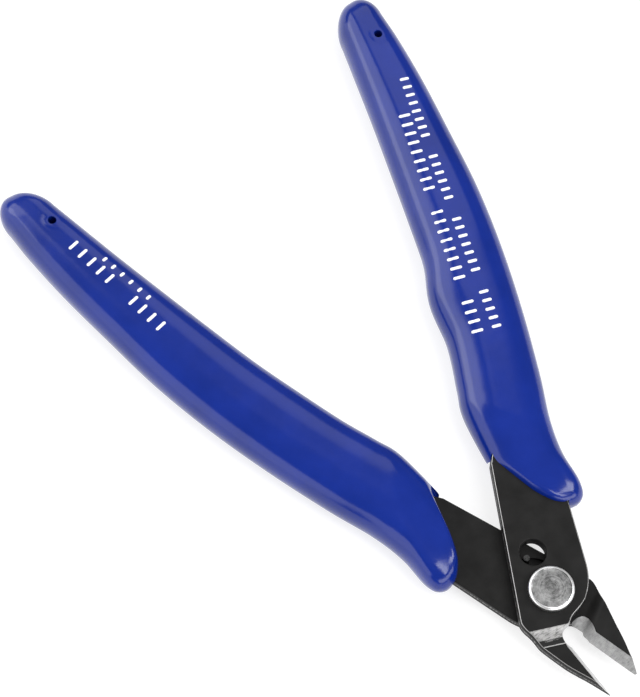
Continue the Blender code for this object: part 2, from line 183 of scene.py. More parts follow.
# Printed marks: rows of plain ticks, as (start, end, tick height, ticks in each group)
MARK_ROWS = {"front": [((15.4, 41.1), (28.1, 79.4), 2.0, (4, 8, 9)),
                       ((18.5, 40.1), (32.1, 85.1), 1.6, (5, 7, 6, 8))],
             "rear": [((-30.6, 89.1), (-26.6, 69.5), 2.0, (5, 4)),
                      ((-27.7, 84.3), (-25.5, 74.8), 1.0, (6,))]}
TICK_WIDTH = 0.5
GROUP_GAP = 1.6          # in tick pitches
INK_T = 0.03
TICK_END_STEPS = 6

# Angles in degrees above which an edge stays sharp
BLADE_CREASE = 32.0
SLEEVE_CREASE = 40.0
RIVET_CREASE = 35.0
INK_CREASE = 50.0


# ---------------------------------------------------------------- meshes

def add_piece(name, bm, materials, side="front"):
    """Link a mesh drawn in a half's frame."""
    bmesh.ops.scale(bm, vec=(MM, MM, MM), verts=bm.verts)
    bmesh.ops.recalc_face_normals(bm, faces=bm.faces)
    mesh = bpy.data.meshes.new(name)
    bm.to_mesh(mesh)
    bm.free()
    for mat in materials:
        mesh.materials.append(mat)
    obj = bpy.data.objects.new(name, mesh)
    obj.location = PIVOT
    obj.rotation_euler = (0.0, TURN_OVER[side], 0.0)
    bpy.context.collection.objects.link(obj)
    return obj


def show(obj, body, slot, *nodes):
    """Make a finished piece ride on its body in place of CAD nodes."""
    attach(obj, body)
    if nodes:
        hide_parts(*nodes)


def carve(obj, cutters):
    """Take the cutters' volumes out of obj, with their materials on the new faces."""
    for cutter in cutters:
        mod = obj.modifiers.new("cut_" + cutter.name, "BOOLEAN")
        mod.operation = "DIFFERENCE"
        mod.solver = "EXACT"
        mod.material_mode = "TRANSFER"
        mod.object = cutter
    bpy.context.view_layer.update()
    evaluated = obj.evaluated_get(bpy.context.evaluated_depsgraph_get())
    mesh = bpy.data.meshes.new_from_object(evaluated)
    obj.modifiers.clear()
    obj.data = mesh
    for cutter in cutters:
        bpy.data.objects.remove(cutter, do_unlink=True)


def finish_shading(obj, crease, weighted=True):
    """Smooth shading, with edges above the crease angle kept sharp."""
    obj.data.shade_smooth()
    obj.data.set_sharp_from_angle(angle=math.radians(crease))
    if weighted:
        mod = obj.modifiers.new("face_weighted", "WEIGHTED_NORMAL")
        mod.keep_sharp = True


def arc(centre, radius, start, end, steps):
    """Points on a circle, from one angle in degrees to another."""
    points = []
    for i in range(steps + 1):
        a = math.radians(start + (end - start) * i / steps)
        points.append((centre[0] + radius * math.cos(a), centre[1] + radius * math.sin(a)))
    return points


def circle(centre, radius, sides):
    return arc(centre, radius, 0.0, 360.0 * (sides - 1) / sides, sides - 1)


def spline(points, u):
    """Smooth curve through points, read at u counted in points."""
    last = len(points) - 1
    i = min(int(u), last - 1)
    t = u - i
    p1, p2 = Vector(points[i]), Vector(points[i + 1])
    p0 = Vector(points[i - 1]) if i else p1 * 2 - p2
    p3 = Vector(points[i + 2]) if i + 2 <= last else p2 * 2 - p1
    return (p1 * 2 + (p2 - p0) * t + (p0 * 2 - p1 * 5 + p2 * 4 - p3) * t * t
            + (p1 * 3 - p0 - p2 * 3 + p3) * t ** 3) / 2


def smooth_path(points, steps=CURVE_STEPS):
    """The smooth curve's points, with a number of steps between each two given ones."""
    count = (len(points) - 1) * steps
    return [tuple(spline(points, i / steps)) for i in range(count + 1)]


def smooth_step(t):
    t = max(0.0, min(1.0, t))
    return t * t * (3 - 2 * t)


def stack(levels):
    """Closed solid through outlines with matching points: (z, points, material of the band above it)."""
    bm = bmesh.new()
    rings = [[bm.verts.new((x, y, z)) for x, y in points] for z, points, _ in levels]
    bm.faces.new(rings[0][::-1])
    bm.faces.new(rings[-1])
    for lower, upper, (_, _, number) in zip(rings, rings[1:], levels):
        for i in range(len(lower)):
            j = (i + 1) % len(lower)
            bm.faces.new((lower[i], lower[j], upper[j], upper[i])).material_index = number
    return bm


def prism(outline, z_low, z_high):
    return stack([(z_low, outline, 0), (z_high, outline, 0)])


def offset_outline(points, distance):
    """An outline moved outwards by a distance; points run clockwise or anticlockwise."""
    vectors = [Vector(p) for p in points]
    area = sum(p.x * q.y - q.x * p.y for p, q in zip(vectors, vectors[1:] + vectors[:1]))
    turn = 1 if area > 0 else -1
    moved = []
    for i, p in enumerate(vectors):
        before = (p - vectors[i - 1]).normalized()
        after = (vectors[(i + 1) % len(vectors)] - p).normalized()
        mean = (before + after).normalized()
        out = Vector((mean.y, -mean.x)) * turn
        moved.append(tuple(p + out * distance / max(0.5, mean.dot(before))))
    return moved


def lathe(profile, sides):
    """Solid turned about Z from (radius, z) pairs that start and end on the axis."""
    bm = bmesh.new()
    rings = []
    for radius, z in profile:
        ring = circle((0.0, 0.0), radius, sides)
        rings.append([bm.verts.new((x, y, z)) for x, y in (ring if radius else ring[:1])])
    for lower, upper in zip(rings, rings[1:]):
        for i in range(sides):
            j = (i + 1) % sides
            if len(lower) == 1:
                bm.faces.new((lower[0], upper[j], upper[i]))
            elif len(upper) == 1:
                bm.faces.new((lower[i], lower[j], upper[0]))
            else:
                bm.faces.new((lower[i], lower[j], upper[j], upper[i]))
    return bm


# ---------------------------------------------------------------- material nodes

def node(tree, kind, settings=None, inputs=None):
    """A shader node with its settings, and its inputs given by name or number, as values or links."""
    made = tree.nodes.new("ShaderNode" + kind)
    for key, value in (settings or {}).items():
        setattr(made, key, value)
    for key, value in (inputs or {}).items():
        if isinstance(value, bpy.types.NodeSocket):
            tree.links.new(value, made.inputs[key])
        else:
            made.inputs[key].default_value = value
    return made


def new_material(name, roughness, metallic, specular=0.5):
    mat = bpy.data.materials.new(name)
    mat.use_nodes = True
    shader = mat.node_tree.nodes["Principled BSDF"]
    shader.inputs["Roughness"].default_value = roughness
    shader.inputs["Metallic"].default_value = metallic
    shader.inputs["Specular IOR Level"].default_value = specular
    return mat, mat.node_tree, shader


def place(tree, scale=(1.0, 1.0, 1.0), turn=0.0):
    """The surface point in the piece's own frame, in millimetres times a scale."""
    coords = node(tree, "TexCoord").outputs["Object"]
    mapping = node(tree, "Mapping", inputs={"Vector": coords, "Rotation": (0.0, 0.0, math.radians(turn)),
                                            "Scale": [s / MM for s in scale]})
    return mapping.outputs["Vector"]


def noise(tree, where, scale, detail=4.0, roughness=0.55):
    made = node(tree, "TexNoise", inputs={"Vector": where, "Scale": scale, "Detail": detail,
                                          "Roughness": roughness})
    return made.outputs["Fac"]


def ramp(tree, value, low, high, out_low=0.0, out_high=1.0):
    """Map a value from one range to another, clamped."""
    made = node(tree, "MapRange", inputs={"Value": value, "From Min": low, "From Max": high,
                                          "To Min": out_low, "To Max": out_high})
    return made.outputs["Result"]


def maths(tree, operation, a, b=0.0):
    return node(tree, "Math", {"operation": operation}, {0: a, 1: b}).outputs["Value"]


def mix(tree, share, a, b):
    made = node(tree, "Mix", {"data_type": "RGBA"}, {"Factor": share, 6: a, 7: b})
    return made.outputs[2]


def grey(value, warmth=0.0):
    return (value * (1 + warmth), value, value * (1 - warmth), 1.0)


def bump(tree, shader, height, depth_mm, strength=1.0, under=None):
    inputs = {"Height": height, "Distance": depth_mm * MM, "Strength": strength}
    if under:
        inputs["Normal"] = under
    normal = node(tree, "Bump", inputs=inputs).outputs["Normal"]
    tree.links.new(normal, shader.inputs["Normal"])
    return normal


def black_oxide(name, bare_and_sheen=0.0, specular=0.16):
    """Satin black oxide with faint rolling marks and fine grain; the bare share is steel showing through,
    which stands for wear and for painted highlights.
    """
    mat, tree, shader = new_material(name, 0.42, 0.0, specular)
    where = place(tree)
    grain = noise(tree, where, 9.0, 6.0)
    patches = noise(tree, where, 0.35, 3.0)
    rolled = noise(tree, place(tree, (0.5, 7.0, 1.0), 12.0), 1.0, 4.0)
    tone = maths(tree, "ADD", maths(tree, "MULTIPLY", grain, 0.35), maths(tree, "MULTIPLY", patches, 0.65))
    colour = mix(tree, ramp(tree, tone, 0.35, 0.65), grey(0.007, 0.02), grey(0.0125, 0.02))
    if bare_and_sheen:
        # bare-steel scuffs: wear, and painted highlights on the strips that use them
        scuffs_and_sheen = noise(tree, place(tree, (1.0, 3.5, 1.0), 15.0), 1.1, 6.0, 0.65)
        low = 0.7 - 0.5 * bare_and_sheen
        shown = ramp(tree, scuffs_and_sheen, low, low + 0.3, 0.0, 0.85)
        colour = mix(tree, shown, colour, grey(0.44, 0.01))
        tree.links.new(shown, shader.inputs["Metallic"])
    tree.links.new(colour, shader.inputs["Base Color"])
    tree.links.new(ramp(tree, tone, 0.3, 0.7, 0.4, 0.54), shader.inputs["Roughness"])
    height = maths(tree, "ADD", maths(tree, "MULTIPLY", grain, 0.5), maths(tree, "MULTIPLY", rolled, 0.5))
    bump(tree, shader, height, 0.006, 0.6)
    return mat


def ground_steel(side):
    """Bare steel with grinding marks that run across the cutting edge."""
    mat, tree, shader = new_material("ground_steel_" + side, 0.34, 1.0)
    where = place(tree, (0.9, 14.0, 0.9), {"front": 4.0, "rear": -19.0}[side])
    marks = noise(tree, where, 1.0, 5.0, 0.6)
    clouds = noise(tree, place(tree), 1.3, 3.0)
    tone = maths(tree, "ADD", maths(tree, "MULTIPLY", marks, 0.6), maths(tree, "MULTIPLY", clouds, 0.4))
    # painted reflection and painted shade: the front's ground face is given a lighter steel and the rear's a
    # darker one
    low, high = {"front": (0.55, 0.85), "rear": (0.26, 0.5)}[side]
    colour = mix(tree, ramp(tree, tone, 0.35, 0.65), grey(low), grey(high))
    tree.links.new(colour, shader.inputs["Base Color"])
    tree.links.new(ramp(tree, tone, 0.35, 0.65, 0.56, 0.42), shader.inputs["Roughness"])
    bump(tree, shader, marks, 0.008, 0.7)
    return mat


def turned_steel():
    """Bright steel with ring-shaped tool marks round the axis, mottled by wear."""
    mat, tree, shader = new_material("turned_steel", 0.3, 1.0)
    where = place(tree)
    flat_where = place(tree, (1.0, 1.0, 0.0))
    radius = node(tree, "VectorMath", {"operation": "LENGTH"}, {0: flat_where}).outputs["Value"]
    waver = maths(tree, "MULTIPLY", noise(tree, where, 0.8, 3.0), 0.35)
    ring_line = node(tree, "CombineXYZ", inputs={"X": maths(tree, "ADD", radius, waver)}).outputs["Vector"]
    rings = noise(tree, ring_line, 5.5, 4.0, 0.7)
    mottle = noise(tree, where, 2.6, 6.0, 0.72)
    patches = noise(tree, where, 0.42, 2.0)
    tone = maths(tree, "ADD", maths(tree, "MULTIPLY", rings, 0.35), maths(tree, "MULTIPLY", mottle, 0.25))
    tone = maths(tree, "ADD", tone, maths(tree, "MULTIPLY", patches, 0.4))
    flat = mix(tree, ramp(tree, tone, 0.42, 0.58), grey(0.16), grey(0.85))
    # the rim past the groove is painted a lighter steel: a painted highlight on the rim
    rim = ramp(tree, radius, HEAD_GROOVE_R, HEAD_GROOVE_R + 0.1)
    tree.links.new(mix(tree, rim, flat, grey(0.88)), shader.inputs["Base Color"])
    tree.links.new(ramp(tree, tone, 0.38, 0.62, 0.42, 0.26), shader.inputs["Roughness"])
    height = maths(tree, "ADD", maths(tree, "MULTIPLY", rings, 0.6), maths(tree, "MULTIPLY", mottle, 0.4))
    bump(tree, shader, height, 0.02, 0.8)
    return mat


def spring_wire():
    """Drawn wire with faint lengthwise scratches."""
    mat, tree, shader = new_material("spring_wire", 0.3, 1.0)
    scratches = noise(tree, place(tree, (6.0, 6.0, 1.5)), 1.0, 4.0)
    tree.links.new(mix(tree, scratches, grey(0.05), grey(0.14)), shader.inputs["Base Color"])
    tree.links.new(ramp(tree, scratches, 0.3, 0.7, 0.25, 0.42), shader.inputs["Roughness"])
    bump(tree, shader, scratches, 0.004, 0.5)
    return mat


def blue_vinyl():
    """Glossy moulded vinyl: deep blue, slightly uneven in tone, with a soft ripple in its skin."""
    mat, tree, shader = new_material("blue_vinyl", 0.16, 0.0)
    shader.inputs["IOR"].default_value = 1.5
    where = place(tree)
    clouds = noise(tree, where, 0.12, 3.0)
    specks = noise(tree, where, 6.0, 4.0, 0.7)
    tone = maths(tree, "ADD", maths(tree, "MULTIPLY", clouds, 0.75), maths(tree, "MULTIPLY", specks, 0.25))
    colour = mix(tree, ramp(tree, tone, 0.35, 0.65), (0.001, 0.015, 0.18, 1.0), (0.003, 0.02, 0.225, 1.0))
    tree.links.new(colour, shader.inputs["Base Color"])
    tree.links.new(ramp(tree, specks, 0.3, 0.7, 0.13, 0.2), shader.inputs["Roughness"])
    ripple = noise(tree, where, 0.55, 2.0, 0.4)
    soft = bump(tree, shader, ripple, 0.03, 0.4)
    bump(tree, shader, specks, 0.0015, 0.4, under=soft)
    return mat


def white_ink():
    """Pad-printed ink, a little thin and speckled."""
    mat, tree, shader = new_material("white_ink", 0.45, 0.0)
    cover = noise(tree, place(tree), 7.0, 5.0, 0.65)
    colour = mix(tree, ramp(tree, cover, 0.3, 0.5), (0.5, 0.58, 0.75, 1.0), grey(0.86))
    tree.links.new(colour, shader.inputs["Base Color"])
    bump(tree, shader, cover, 0.004, 0.4)
    return mat


def pale_floor():
    mat, tree, shader = new_material("pale_floor", 0.6, 0.0, 0.2)
    cloud = noise(tree, place(tree), 0.01, 2.0)
    tree.links.new(mix(tree, cloud, grey(0.34), grey(0.36)), shader.inputs["Base Color"])
    shader.inputs["Emission Color"].default_value = (1.0, 1.0, 1.0, 1.0)
    shader.inputs["Emission Strength"].default_value = FLOOR_GLOW
    return mat


# ---------------------------------------------------------------- blades

def edge_line(side):
    """A point at y = 0 on the cutting edge's line, its direction to the tip, and the way into the jaw."""
    angle = math.radians(FRONT_EDGE_ANGLE if side == "front" else -(FRONT_EDGE_ANGLE + CLOSING_ANGLE))
    direction = Vector((math.sin(angle), -math.cos(angle)))
    inward = Vector((-math.cos(angle), -math.sin(angle)))
    if side == "front":
        offset = EDGE_OFFSET + EDGE_GAP / 2
    else:
        offset = EDGE_GAP / 2 - EDGE_OFFSET
    foot = inward * offset
    return foot - direction * (foot.y / direction.y), direction, inward


def on_edge(side, y):
    start, direction, _ = edge_line(side)
    return start + direction * (y / direction.y)


def jaw_tip(side):
    """Where the cutting edge's line reaches the tips' radius."""
    start, direction, _ = edge_line(side)
    along = start.dot(direction)
    return start + direction * (math.sqrt(along ** 2 + JAW_REACH ** 2 - start.length_squared) - along)


def tang_outline():
    """The tang inside the grip: its outer edge going up, a round end, and its inner edge coming down."""
    outer, inner = [], []
    for pair in GRIP_PAIRS[:-1]:
        a, b = Vector(pair[0]), Vector(pair[1])
        across = (b - a).normalized()
        outer.append(tuple(b - across * TANG_INSET))
        inner.append(tuple(a + across * TANG_INSET))
    a, b = Vector(inner[-1]), Vector(outer[-1])
    up = Vector((b.y - a.y, a.x - b.x)).normalized() * -1
    centre, radius = (a + b) / 2, (b - a).length / 2
    end = []
    for i in range(1, TANG_END_STEPS):
        turn = math.pi * i / TANG_END_STEPS
        end.append(tuple(centre + (b - centre) * math.cos(turn) + up * radius * math.sin(turn)))
    return outer + end + inner[::-1] + TANG_MOUTH


def jog_drop(point, jog):
    """How far the bend has lowered the plate at a point; it changes evenly across each strip."""
    share = jog_share(point, jog) * JOG_STRIPS
    low = min(int(share), JOG_STRIPS - 1)
    at_low, at_high = smooth_step(low / JOG_STRIPS), smooth_step((low + 1) / JOG_STRIPS)
    return (PLATE_T / 2 + HALF_GAP) * (at_low + (at_high - at_low) * (share - low))


def jog_share(point, jog):
    """How far a point lies along the bend, from 0 where it starts to 1 where it ends."""
    angle = math.radians(jog["angle"])
    along = point.x * math.sin(angle) + point.y * math.cos(angle)
    return max(0.0, min(1.0, (jog["start"] - along) / (jog["start"] - jog["end"])))


def blank(side):
    """The stamped plate with its rolled edge, cut out and bent, before its jaw is ground."""
    tip = jaw_tip(side)
    left = smooth_path(INNER_CURVE + JAW_SIDE[side] + [(tip.x - TIP_FLAT, tip.y)])
    right = smooth_path(OUTER_CURVE)
    outline = [INNER_TOP] + left + [(tip.x + SPARE, tip.y), NECK] + right + [OUTER_TOP] + tang_outline()
    low, high = HALF_GAP, HALF_GAP + PLATE_T
    # the middle band of the wall and one strip of the roll are bare steel: wear and painted highlights along
    # the edge
    levels = [(low, offset_outline(outline, -PLATE_BREAK), SHEARED), (low + PLATE_BREAK, outline, SHEARED),
              (low + WALL_SHEEN_BAND[0], outline, WORN_AND_HIGHLIT), (low + WALL_SHEEN_BAND[1], outline, SHEARED)]
    for i, number in enumerate(ROLL_FINISH):
        turn = math.pi / 2 * i / ROLL_STEPS
        inset = offset_outline(outline, -PLATE_ROLL * (1 - math.cos(turn)))
        levels.append((high - PLATE_ROLL * (1 - math.sin(turn)), inset, number))
    bm = stack(levels)
    bend(bm, JOG[side])
    return bm


def bend(bm, jog):
    """Lower the jaw to the middle of the tool, along strips across the plate."""
    angle = math.radians(jog["angle"])
    normal = Vector((math.sin(angle), math.cos(angle), 0.0))
    for i in range(JOG_STRIPS + 1):
        along = jog["start"] + (jog["end"] - jog["start"]) * i / JOG_STRIPS
        geom = bm.verts[:] + bm.edges[:] + bm.faces[:]
        bmesh.ops.bisect_plane(bm, geom=geom, plane_co=normal * along, plane_no=normal, dist=1e-5)
    # strips of the bend get the worn, rubbed and bright finishes: wear and painted highlights on the bend
    for face in bm.faces:
        if face.normal.z > FACES_UP:
            share = jog_share(face.calc_center_median(), jog)
            for number, (first, last) in jog["wear_and_highlight"].items():
                if first < share < last:
                    face.material_index = number
    for v in bm.verts:
        if v.co.y < 0.0:
            v.co.z -= jog_drop(v.co, jog)


def throat_void(side):
    """Everything ground away between the jaws, with a sloping wall that ends in the cutting edge."""
    _, _, inward = edge_line(side)
    ends = [on_edge(side, y) for y in (THROAT_END[side], GRIND_BOTTOM)]
    low_curve = [p for p, _ in THROAT[side]] + [tuple(ends[0])]
    high_curve = [q for _, q in THROAT[side]] + [tuple(ends[0] + inward * BEVEL[side])]
    corner, end = (GRIND_RIGHT, GRIND_TOP), (GRIND_RIGHT, GRIND_BOTTOM)
    at_edge = [corner] + smooth_path(low_curve) + [tuple(ends[1]), end]
    at_top = [corner] + smooth_path(high_curve) + [tuple(ends[1] + inward * BEVEL[side]), end]
    edge_z = -PLATE_T / 2 if side == "front" else PLATE_T / 2
    levels = []
    for z in (-GRIND_DEPTH, GRIND_DEPTH):
        share = (z - edge_z) / (-2 * edge_z)
        levels.append((z, [tuple(Vector(e).lerp(Vector(t), share)) for e, t in zip(at_edge, at_top)], 0))
    return stack(levels)


def window_void():
    """The window's bore, with a rim that is rounded over on the outer face."""
    top = HALF_GAP + PLATE_T
    levels = [(HALF_GAP - CUTTER_SPARE, circle(WINDOW_AT, WINDOW_R, HOLE_SIDES), 0)]
    for i in range(ROLL_STEPS + 1):
        turn = math.pi / 2 * i / ROLL_STEPS
        radius = WINDOW_R + WINDOW_LIP * (1 - math.cos(turn))
        levels.append((top - WINDOW_LIP * (1 - math.sin(turn)), circle(WINDOW_AT, radius, HOLE_SIDES), 0))
    levels.append((top + CUTTER_SPARE, circle(WINDOW_AT, WINDOW_R + WINDOW_LIP, HOLE_SIDES), 0))
    return stack(levels)


def blade(side, finishes, ground):
    """One half's steel: the bent blank, with its throat, rivet hole, recess and window cut out."""
    name = side + "_blade"
    black = finishes[:1]
    obj = add_piece(name + "_steel", blank(side), finishes, side)
    below, above = HALF_GAP - CUTTER_SPARE, HALF_GAP + PLATE_T + CUTTER_SPARE
    hole = prism(circle((0.0, 0.0), RIVET_HOLE_R, HOLE_SIDES), below, above)
    pocket = POCKET + arc((0.0, 0.0), POCKET_R, 180.0, 360.0, POCKET_STEPS)[1:-1]
    cutters = [add_piece("throat", throat_void(side), [ground], side),
               add_piece("rivet_hole", hole, black, side),
               add_piece("pocket", prism(pocket, below, HALF_GAP + POCKET_DEPTH), black, side)]
    if side == "front":
        cutters.append(add_piece("window", window_void(), black, side))
    carve(obj, cutters)
    finish_shading(obj, BLADE_CREASE)
    show(obj, BODY[side], "black_steel", name)


# ---------------------------------------------------------------- grips

def section_quarter():
    """Half a section's upper side: shares of the half width and of the half thickness, from the edge in."""
    points = []
    for i in range(ROUND_STEPS + 1):
        turn = math.pi / 2 * i / ROUND_STEPS
        share = (1 - GRIP_FLAT) * math.cos(turn) ** (2 / GRIP_POWER) + GRIP_FLAT
        points.append((share, math.sin(turn) ** (2 / GRIP_POWER)))
    return points


def section():
    """A section's outline, from its outer edge over the upper side to the inner edge and back below."""
    outer = section_quarter()
    flat = [(GRIP_FLAT * (1 - 2 * i / FLAT_STEPS), 1.0) for i in range(1, FLAT_STEPS)]
    inner = [(-share, level) for share, level in outer[::-1]]
    upper = outer + flat + inner
    lower = [(share, -level) for share, level in upper[1:-1]][::-1]
    return upper + lower


def front_edge(share):
    """The point where the sleeve begins, at a share of the half width."""
    return Vector(spline(SLEEVE_FRONT, (share + 1) / 2 * (len(SLEEVE_FRONT) - 1)))


def sleeve_point(side, share, u):
    """A point in plan, at a share of the half width and u pairs from the sleeve's front."""
    along = [front_edge(share)] + [Vector(a).lerp(Vector(b), (share + 1) / 2) for a, b in GRIP_PAIRS]
    point = spline(along, u)
    if side == "front":
        near = max(-1.0, min(1.0, (point.y - FRONT_SWELL["at"]) / FRONT_SWELL["reach"]))
        a, b = GRIP_PAIRS[max(0, round(u) - 1)]
        lift = FRONT_SWELL["height"] * (1 + math.cos(math.pi * near)) / 2 * (1 - share) / 2
        point -= (Vector(b) - Vector(a)).normalized() * lift
    return point


def sleeve_level(share, level, u, distance):
    """Half thickness at a point of a section, rounded off towards the sleeve's front."""
    full = GRIP_T * abs(level) * (MOUTH_T + (1 - MOUTH_T) * smooth_step(u / MOUTH_GROWTH))
    lip = LIP[1 if level > 0 else -1]
    at = (share + 1) / 2 * (len(SLEEVE_FRONT) - 1)
    horn = smooth_step((at - HORN_FROM) / (HORN_TO - HORN_FROM))
    foot = min(full, lip["foot"] * (1 - horn))
    reach = min(1.0, distance / (lip["round"] + (HORN_ROUND - lip["round"]) * horn))
    return math.copysign(foot + (full - foot) * math.sqrt(1 - (1 - reach) ** 2), level)


def mating_setback(share, level, u):
    """How much further back the mating side is near the mouth's inner corner, counted in pairs."""
    return MATING_SETBACK * smooth_step(-MATING_FADE * level) * smooth_step(-share) * max(0.0, 1 - u)


def sleeve_rings(side):
    """Rings of points over the moulded sleeve, from its front to the start of its rounded end."""
    stations = [(i / FRONT_STEPS) ** 2 for i in range(FRONT_STEPS)]
    stations += [1 + i / GRIP_STEPS for i in range((len(GRIP_PAIRS) - 1) * GRIP_STEPS + 1)]
    rings = []
    for u in stations:
        ring = []
        for share, level in section():
            p = sleeve_point(side, share, u + mating_setback(share, level, u))
            rim = sleeve_point(side, share, mating_setback(share, level, 0.0))
            ring.append((p.x, p.y, sleeve_level(share, level, u, (p - rim).length)))
        rings.append(ring)
    return rings


def sleeve_mesh(side):
    """The moulded sleeve, closed at both ends."""
    rings = sleeve_rings(side)
    a, b = Vector(GRIP_PAIRS[-1][0]), Vector(GRIP_PAIRS[-1][1])
    centre, across = (a + b) / 2, (b - a) / 2
    before = (Vector(GRIP_PAIRS[-2][0]) + Vector(GRIP_PAIRS[-2][1])) / 2
    along = (centre - before).normalized()
    for i in range(1, CAP_STEPS):
        turn = math.pi / 2 * i / CAP_STEPS
        c = centre + along * GRIP_END * math.sin(turn)
        reach = across * math.cos(turn)
        rings.append([(*(c + reach * share), GRIP_T * level * math.cos(turn)) for share, level in section()])
    bm = bmesh.new()
    made = [[bm.verts.new(p) for p in ring] for ring in rings]
    tip = bm.verts.new((*(centre + along * GRIP_END), 0.0))
    sides = len(made[0])
    for lower, upper in zip(made, made[1:]):
        for i in range(sides):
            j = (i + 1) % sides
            bm.faces.new((lower[i], lower[j], upper[j], upper[i]))
    for i in range(sides):
        bm.faces.new((made[-1][i], made[-1][(i + 1) % sides], tip))
    close_mouth(bm, made[0])
    horn = [v for v in bm.verts if v.co.x > HORN_CORNER[0] and v.co.y < HORN_CORNER[1]]
    for _ in range(HORN_SMOOTHING):
        bmesh.ops.smooth_vert(bm, verts=horn, factor=0.5, use_axis_z=True)
    return bm


def close_mouth(bm, ring):
    """Join the upper and the lower half of the first ring, point to point."""
    half = len(ring) // 2
    bm.faces.new((ring[0], ring[-1], ring[1]))
    for i in range(1, half - 1):
        bm.faces.new((ring[i], ring[-i], ring[-i - 1], ring[i + 1]))
    bm.faces.new((ring[half - 1], ring[half + 1], ring[half]))


def raise_pin_rings(bm):
    """Lift the low ring that the mould leaves round each pin hole."""
    for v in bm.verts:
        for face, at in PIN_HOLE.items():
            if v.co.z * face > 0.0:
                distance = (v.co.xy - Vector(at)).length
                lift = PIN_RING_HEIGHT * math.exp(-((distance - PIN_RING_R) / PIN_RING_WIDTH) ** 2)
                v.co.z += face * lift


def sleeve(side, vinyl):
    """One half's sleeve, with the tang's socket and the two pin holes cut out."""
    bm = sleeve_mesh(side)
    raise_pin_rings(bm)
    obj = add_piece(side + "_grip_sleeve", bm, [vinyl], side)
    bare_end = [INNER_TOP, SOCKET_OPEN, OUTER_CURVE[-1], OUTER_TOP]
    socket = offset_outline(bare_end + tang_outline(), SLEEVE_GAP)
    low, high = HALF_GAP - SLEEVE_GAP, HALF_GAP + PLATE_T + SLEEVE_GAP
    middle = HALF_GAP + PLATE_T / 2
    cutters = [add_piece("socket", prism(socket, low, high), [vinyl], side)]
    for face, at in PIN_HOLE.items():
        end = 2 * GRIP_T * face
        hole = prism(circle(at, PIN_HOLE_R, PIN_HOLE_SIDES), min(middle, end), max(middle, end))
        cutters.append(add_piece("pin_hole", hole, [vinyl], side))
    carve(obj, cutters)
    finish_shading(obj, SLEEVE_CREASE, weighted=False)
    show(obj, BODY[side], "blue_vinyl", side + "_grip")
    return obj


# ---------------------------------------------------------------- rivet, spring and marks

def quarter(steps):
    """Angles from 0 to a right angle."""
    return [math.pi / 2 * i / steps for i in range(steps + 1)]


def rivet(steel):
    """The turned rivet: domed tail, shank, and a head with an undercut foot, round rim and groove."""
    seat = HALF_GAP + PLATE_T + SEAT_GAP
    top = seat + HEAD_H
    profile = [(0.0, -seat - TAIL_H)]
    profile += [(TAIL_R * math.sin(a), -seat - TAIL_H * math.cos(a)) for a in quarter(TAIL_STEPS)[1:-1]]
    profile += [(TAIL_R, -seat), (SHANK_R, -seat), (SHANK_R, seat)]
    profile += [(HEAD_R - HEAD_FOOT * (1 - math.sin(a)), seat + HEAD_FOOT * (1 - math.cos(a)))
                for a in quarter(FOOT_STEPS)]
    profile += [(HEAD_R - HEAD_EDGE * (1 - math.cos(a)), top - HEAD_EDGE * (1 - math.sin(a)))
                for a in quarter(EDGE_STEPS)]
    profile += [(HEAD_GROOVE_R + out, top + rise) for out, rise in HEAD_GROOVE]
    profile += [(radius, top + rise) for radius, rise in HEAD_CROWN]
    obj = add_piece("turned_rivet", lathe(profile, RIVET_SIDES), [steel])
    finish_shading(obj, RIVET_CREASE)
    show(obj, "rear_half", "bright_steel", "pivot_rivet")


def spring(steel):
    """A hairpin of wire round the shank; one tip stands up in the front plate's window."""
    bow = [(x, y, 0.0) for x, y in arc((0.0, 0.0), BOW_R, 0.0, -180.0, BOW_STEPS)]
    route = SPRING_FREE_END + bow + SPRING_LONG_ARM + SPRING_POST
    curve = bpy.data.curves.new("hairpin_spring", "CURVE")
    curve.dimensions = "3D"
    curve.bevel_depth = WIRE_R * MM
    curve.bevel_resolution = 6
    curve.use_fill_caps = True
    points = smooth_path(route, SPRING_STEPS)
    line = curve.splines.new("POLY")
    line.points.add(len(points) - 1)
    for point, co in zip(line.points, points):
        point.co = (*(Vector(co) * MM), 1.0)
    curve.materials.append(steel)
    obj = bpy.data.objects.new("hairpin_spring", curve)
    obj.location = PIVOT
    bpy.context.collection.objects.link(obj)
    show(obj, "rear_half", "spring_wire", "return_spring")


def tick_centres(start, end, groups):
    """Where a row's ticks stand: evenly spaced in groups, with a wider space between groups."""
    pitches = sum(groups) - 1 + GROUP_GAP * (len(groups) - 1)
    pitch = (end - start).length / pitches
    direction = (end - start).normalized()
    centres, at = [], 0.0
    for count in groups:
        for i in range(count):
            centres.append(start + direction * pitch * (at + i))
        at += count + GROUP_GAP
    return centres, direction


def film(bm, tree, centre, direction, height):
    """One tick: a thin film with round ends that follows the sleeve's surface."""
    normal = Vector((-direction.y, direction.x))
    radius, reach = TICK_WIDTH / 2, height / 2 - TICK_WIDTH / 2
    outline = arc((reach, 0.0), radius, -90.0, 90.0, TICK_END_STEPS)
    outline += arc((-reach, 0.0), radius, 90.0, 270.0, TICK_END_STEPS)
    tops, bases = [], []
    for along, side in outline + [(0.0, 0.0)]:
        p = centre + normal * along + direction * side
        origin = PIVOT + Vector((p.x, p.y, 3 * GRIP_T)) * MM
        hit, _, _, _ = tree.ray_cast(origin, Vector((0.0, 0.0, -1.0)))
        tops.append(bm.verts.new((p.x, p.y, (hit.z - PIVOT.z) / MM + INK_T)))
        bases.append(bm.verts.new((p.x, p.y, (hit.z - PIVOT.z) / MM - INK_T)))
    count = len(outline)
    for i in range(count):
        j = (i + 1) % count
        bm.faces.new((tops[i], tops[j], tops[-1]))
        bm.faces.new((bases[j], bases[i], bases[-1]))
        bm.faces.new((bases[i], bases[j], tops[j], tops[i]))


